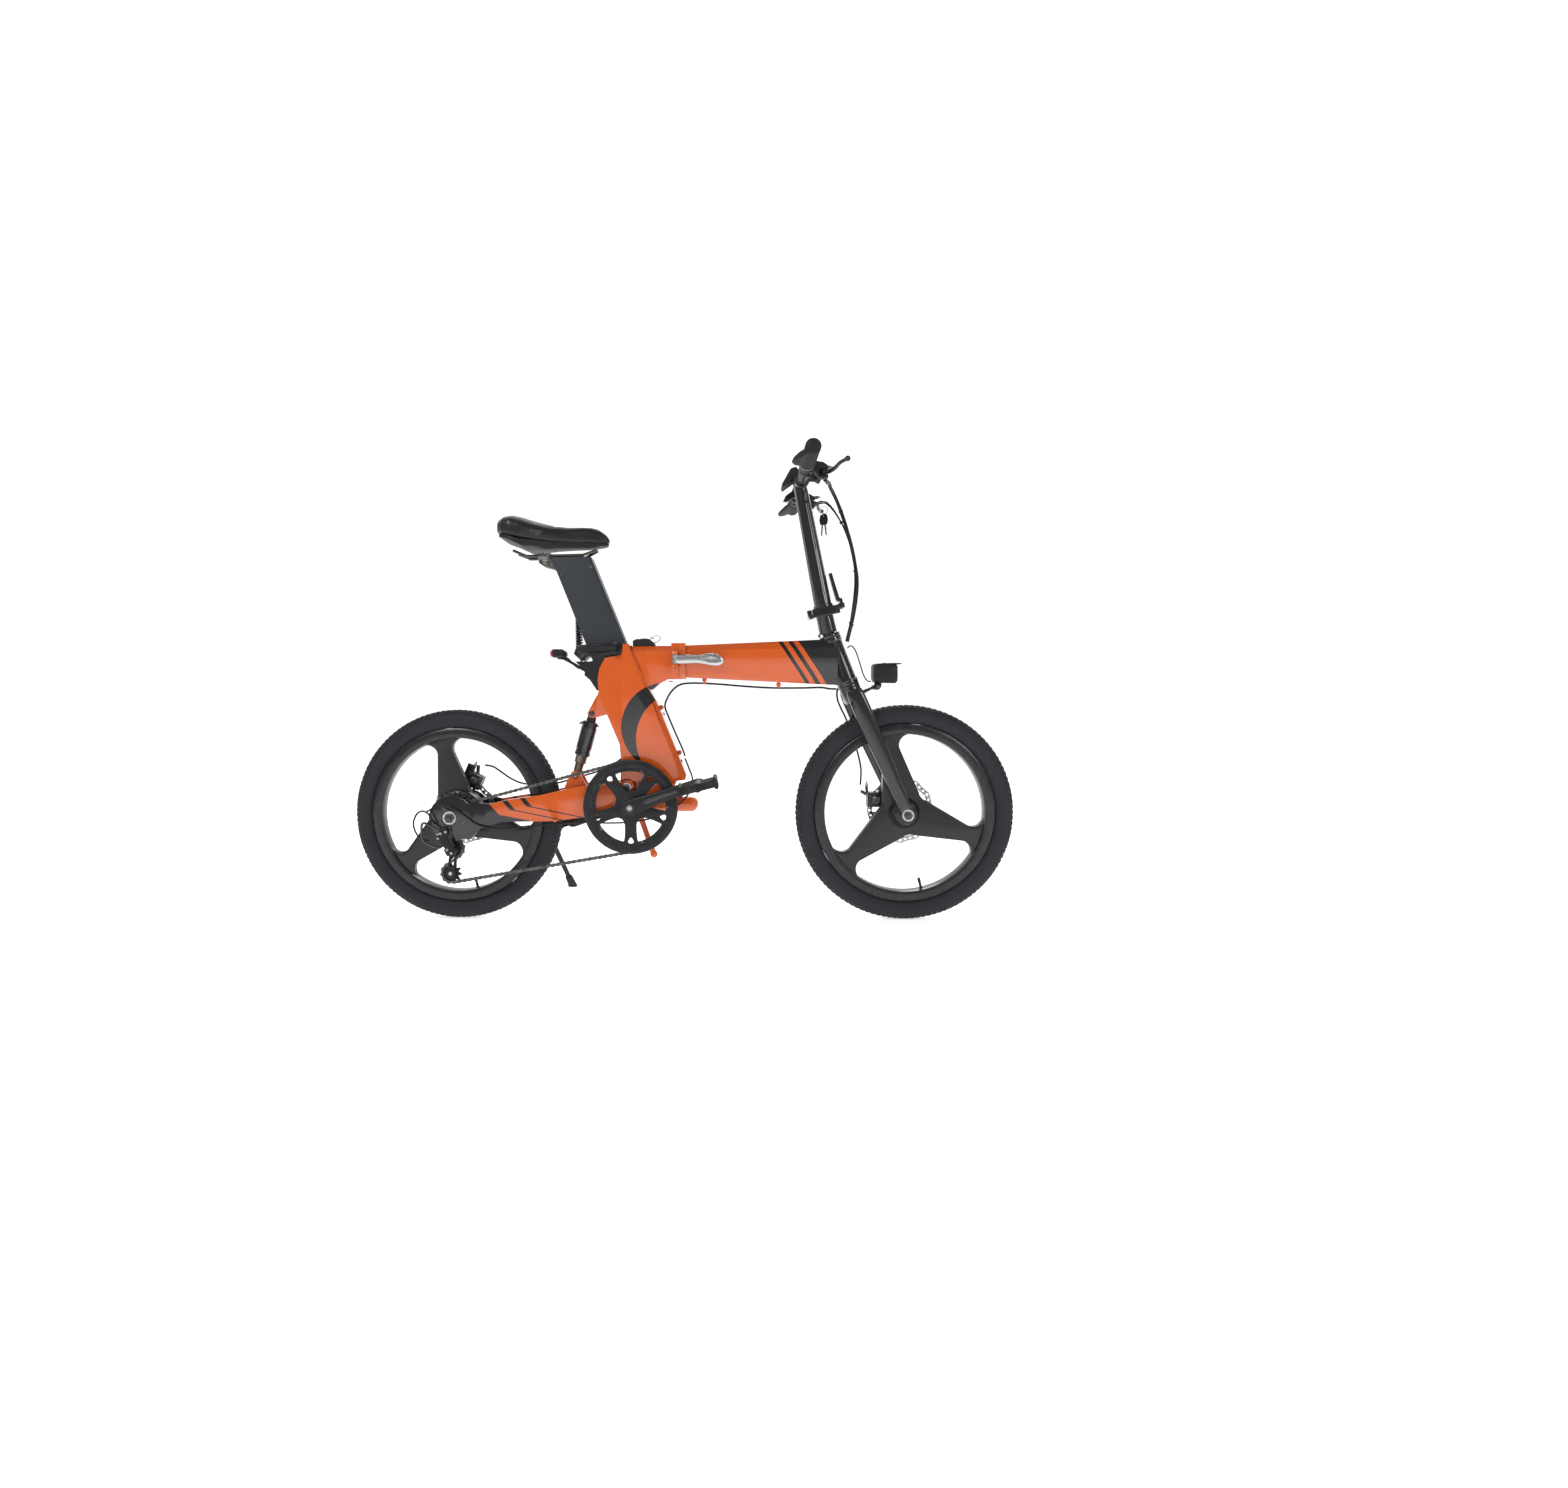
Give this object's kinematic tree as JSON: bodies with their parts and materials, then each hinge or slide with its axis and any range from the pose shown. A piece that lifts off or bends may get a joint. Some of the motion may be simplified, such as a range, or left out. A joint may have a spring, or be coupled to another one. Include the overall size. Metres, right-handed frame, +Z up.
{
  "type": "folding electric bicycle",
  "caption": "Folding electric bicycle with rear suspension, cast bladed wheels, disc brakes and a battery that is its own seat post.",
  "frame": {"origin": "on the ground, midway between the two axles, on the centre plane", "axes": "+X forward, +Y to the rider's left, +Z up"},
  "size_m": [1.57, 0.588, 1.073],
  "materials": {
    "orange_paint": "gloss paint",
    "black_paint": "gloss paint",
    "battery_grey": "satin",
    "polished_alloy": "polished",
    "steel": "satin",
    "tyre": "matte",
    "grip_rubber": "matte",
    "saddle_vinyl": "satin grain",
    "black_plastic": "fine texture",
    "cable": "satin",
    "bronze_shaft": "hard anodised",
    "red_lens": "clear red",
    "cell_wrap": "matte"
  },
  "bodies": {
    "rear_frame": {"rear_frame": "orange_paint", "battery_socket": "black_paint", "seat_collar": "black_paint", "battery_lock": "black_plastic", "tail_light": "red_lens", "hinge_pins": "steel", "bracket_bearings": "steel", "motor_controller": "polished_alloy"},
    "seat_lever": {"seat_lever": "black_plastic"},
    "seatpost": {"battery_case": "battery_grey", "battery_cells": "cell_wrap", "saddle_clamp": "black_paint", "saddle_shell": "black_plastic", "saddle_cushion": "saddle_vinyl", "coil_cable": "cable"},
    "front_frame": {"front_frame": "orange_paint", "headset": "steel", "frame_cable": "cable"},
    "frame_lever": {"frame_lever": "polished_alloy"},
    "fork": {"fork": "black_paint", "stem_base": "black_paint", "front_axle": "steel", "front_caliper": "black_paint", "fork_cables": "cable"},
    "headlight": {"headlight": "black_plastic"},
    "front_brake_arm": {"front_brake_arm": "black_paint"},
    "front_wheel": {"front_tyre": "tyre", "front_rim": "black_paint", "front_rotor": "steel"},
    "handlepost": {"handlepost": "black_paint", "handlebar": "black_paint", "grips": "grip_rubber", "bar_controls": "black_plastic", "display": "black_plastic", "keys": "black_plastic", "bar_cables": "cable"},
    "post_lever": {"post_lever": "black_paint"},
    "brake_lever_right": {"brake_lever_right": "black_paint"},
    "brake_lever_left": {"brake_lever_left": "black_paint"},
    "throttle": {"throttle": "black_plastic"},
    "rear_wheel": {"rear_tyre": "tyre", "rear_rim": "black_paint", "rear_rotor": "steel"},
    "swingarm": {"swingarm": "orange_paint", "rear_axle": "steel", "rear_caliper": "black_paint", "derailleur": "black_plastic", "swing_cables": "cable", "chain": "steel"},
    "rear_brake_arm": {"rear_brake_arm": "black_paint"},
    "freewheel": {"freewheel": "steel"},
    "guide_pulley": {"guide_pulley": "black_plastic"},
    "tension_pulley": {"tension_pulley": "black_plastic"},
    "crankset": {"chainring": "black_paint", "crank_arms": "black_paint"},
    "pedal_right": {"pedal_right": "black_plastic"},
    "pedal_left": {"pedal_left": "black_plastic"},
    "kickstand": {"kickstand": "black_paint"},
    "shock_body": {"shock_body": "black_paint"},
    "shock_shaft": {"shock_shaft": "bronze_shaft"}
  },
  "joints": [
    {"name": "frame_fold", "type": "hinge", "parent": "rear_frame", "child": "front_frame", "pos_m": [0.008, 0.044, 0.614], "axis": [0, 0, 1], "range_deg": [0, 148], "deforming": ["frame_cable"]},
    {"name": "steer", "type": "hinge", "parent": "front_frame", "child": "fork", "pos_m": [0.405, 0, 0.554], "axis": [-0.3584, 0, 0.9336], "range_deg": [-55, 55], "deforming": ["fork_cables", "bar_cables"]},
    {"name": "front_roll", "type": "hinge", "parent": "fork", "child": "front_wheel", "pos_m": [0.532, 0, 0.253], "axis": [0, 1, 0], "continuous": true},
    {"name": "post_fold", "type": "hinge", "parent": "fork", "child": "handlepost", "pos_m": [0.31666, 0, 0.7129], "axis": [0, -1, 0], "range_deg": [0, 88], "deforming": ["bar_cables"]},
    {"name": "post_latch", "type": "hinge", "parent": "handlepost", "child": "post_lever", "pos_m": [0.3892, 0, 0.73855], "axis": [0, 1, 0], "range_deg": [0, 100]},
    {"name": "frame_latch", "type": "hinge", "parent": "rear_frame", "child": "frame_lever", "pos_m": [0, -0.047, 0.618], "axis": [0, 0, -1], "range_deg": [0, 110]},
    {"name": "seat_slide", "type": "slide", "parent": "rear_frame", "child": "seatpost", "axis": [-0.3633, 0, 0.9317], "range_m": [-0.12, 0.08], "deforming": ["coil_cable"]},
    {"name": "seat_latch", "type": "hinge", "parent": "rear_frame", "child": "seat_lever", "pos_m": [-0.141, -0.047, 0.645], "axis": [0, 0, 1], "range_deg": [0, 110]},
    {"name": "suspension", "type": "hinge", "parent": "rear_frame", "child": "swingarm", "pos_m": [-0.117, 0, 0.32], "axis": [0, 1, 0], "range_deg": [0, 8], "stiffness_Nm_per_rad": 900, "springref_deg": -6.88, "deforming": ["chain", "swing_cables"]},
    {"name": "shock_swing", "type": "hinge", "parent": "rear_frame", "child": "shock_body", "pos_m": [-0.201, 0, 0.493], "axis": [0, 1, 0], "range_deg": [-0.5, 0.5]},
    {"name": "shock_stroke", "type": "slide", "parent": "shock_body", "child": "shock_shaft", "axis": [0.2747, 0, 0.9615], "range_m": [0, 0.0185]},
    {"name": "rear_roll", "type": "hinge", "parent": "swingarm", "child": "rear_wheel", "pos_m": [-0.532, 0, 0.253], "axis": [0, 1, 0], "continuous": true},
    {"name": "freewheel_spin", "type": "hinge", "parent": "swingarm", "child": "freewheel", "pos_m": [-0.532, 0, 0.253], "axis": [0, 1, 0], "continuous": true},
    {"name": "guide_spin", "type": "hinge", "parent": "swingarm", "child": "guide_pulley", "pos_m": [-0.529, 0, 0.178], "axis": [0, 1, 0], "continuous": true},
    {"name": "tension_spin", "type": "hinge", "parent": "swingarm", "child": "tension_pulley", "pos_m": [-0.537, 0, 0.1193], "axis": [0, 1, 0], "continuous": true},
    {"name": "crank_spin", "type": "hinge", "parent": "rear_frame", "child": "crankset", "pos_m": [-0.107, 0, 0.276], "axis": [0, 1, 0], "continuous": true},
    {"name": "pedal_right_spin", "type": "hinge", "parent": "crankset", "child": "pedal_right", "pos_m": [0.05374, 0, 0.33135], "axis": [0, 1, 0], "continuous": true},
    {"name": "pedal_left_spin", "type": "hinge", "parent": "crankset", "child": "pedal_left", "pos_m": [-0.26774, 0, 0.22065], "axis": [0, 1, 0], "continuous": true},
    {"name": "stand_fold", "type": "hinge", "parent": "swingarm", "child": "kickstand", "pos_m": [-0.346, 0.058, 0.238], "axis": [0.1664, 0.8234, 0.5424], "range_deg": [0, 88]},
    {"name": "brake_right", "type": "hinge", "parent": "handlepost", "child": "brake_lever_right", "pos_m": [0.332, -0.148, 1.011], "axis": [0, 0, -1], "range_deg": [0, 18], "stiffness_Nm_per_rad": 4, "springref_deg": -5.73},
    {"name": "brake_left", "type": "hinge", "parent": "handlepost", "child": "brake_lever_left", "pos_m": [0.332, 0.148, 1.011], "axis": [0, 0, 1], "range_deg": [0, 18], "stiffness_Nm_per_rad": 4, "springref_deg": -5.73},
    {"name": "front_arm", "type": "hinge", "parent": "fork", "child": "front_brake_arm", "pos_m": [0.473, 0.06, 0.279], "axis": [0, 1, 0], "range_deg": [0, 20]},
    {"name": "rear_arm", "type": "hinge", "parent": "swingarm", "child": "rear_brake_arm", "pos_m": [-0.506, 0.068, 0.33], "axis": [0, 1, 0], "range_deg": [0, 20]},
    {"name": "throttle_push", "type": "hinge", "parent": "handlepost", "child": "throttle", "pos_m": [0.297, 0.104, 1.027], "axis": [0, -1, 0], "range_deg": [0, 25], "stiffness_Nm_per_rad": 0.6, "springref_deg": -5.73},
    {"name": "light_tilt", "type": "hinge", "parent": "fork", "child": "headlight", "pos_m": [0.472, 0, 0.549], "axis": [0, 1, 0], "range_deg": [-15, 15]}
  ],
  "couplings": [
    {"joint": "shock_swing", "follows": "suspension", "ratio": 0.01},
    {"joint": "shock_stroke", "follows": "suspension", "m_per_rad": 0.1289},
    {"joint": "freewheel_spin", "follows": "crank_spin", "ratio": 4.7273},
    {"joint": "guide_spin", "follows": "crank_spin", "ratio": -4.7273},
    {"joint": "tension_spin", "follows": "crank_spin", "ratio": 4.7273},
    {"joint": "front_arm", "follows": "brake_left", "ratio": 1.1},
    {"joint": "rear_arm", "follows": "brake_right", "ratio": 1.1}
  ]
}
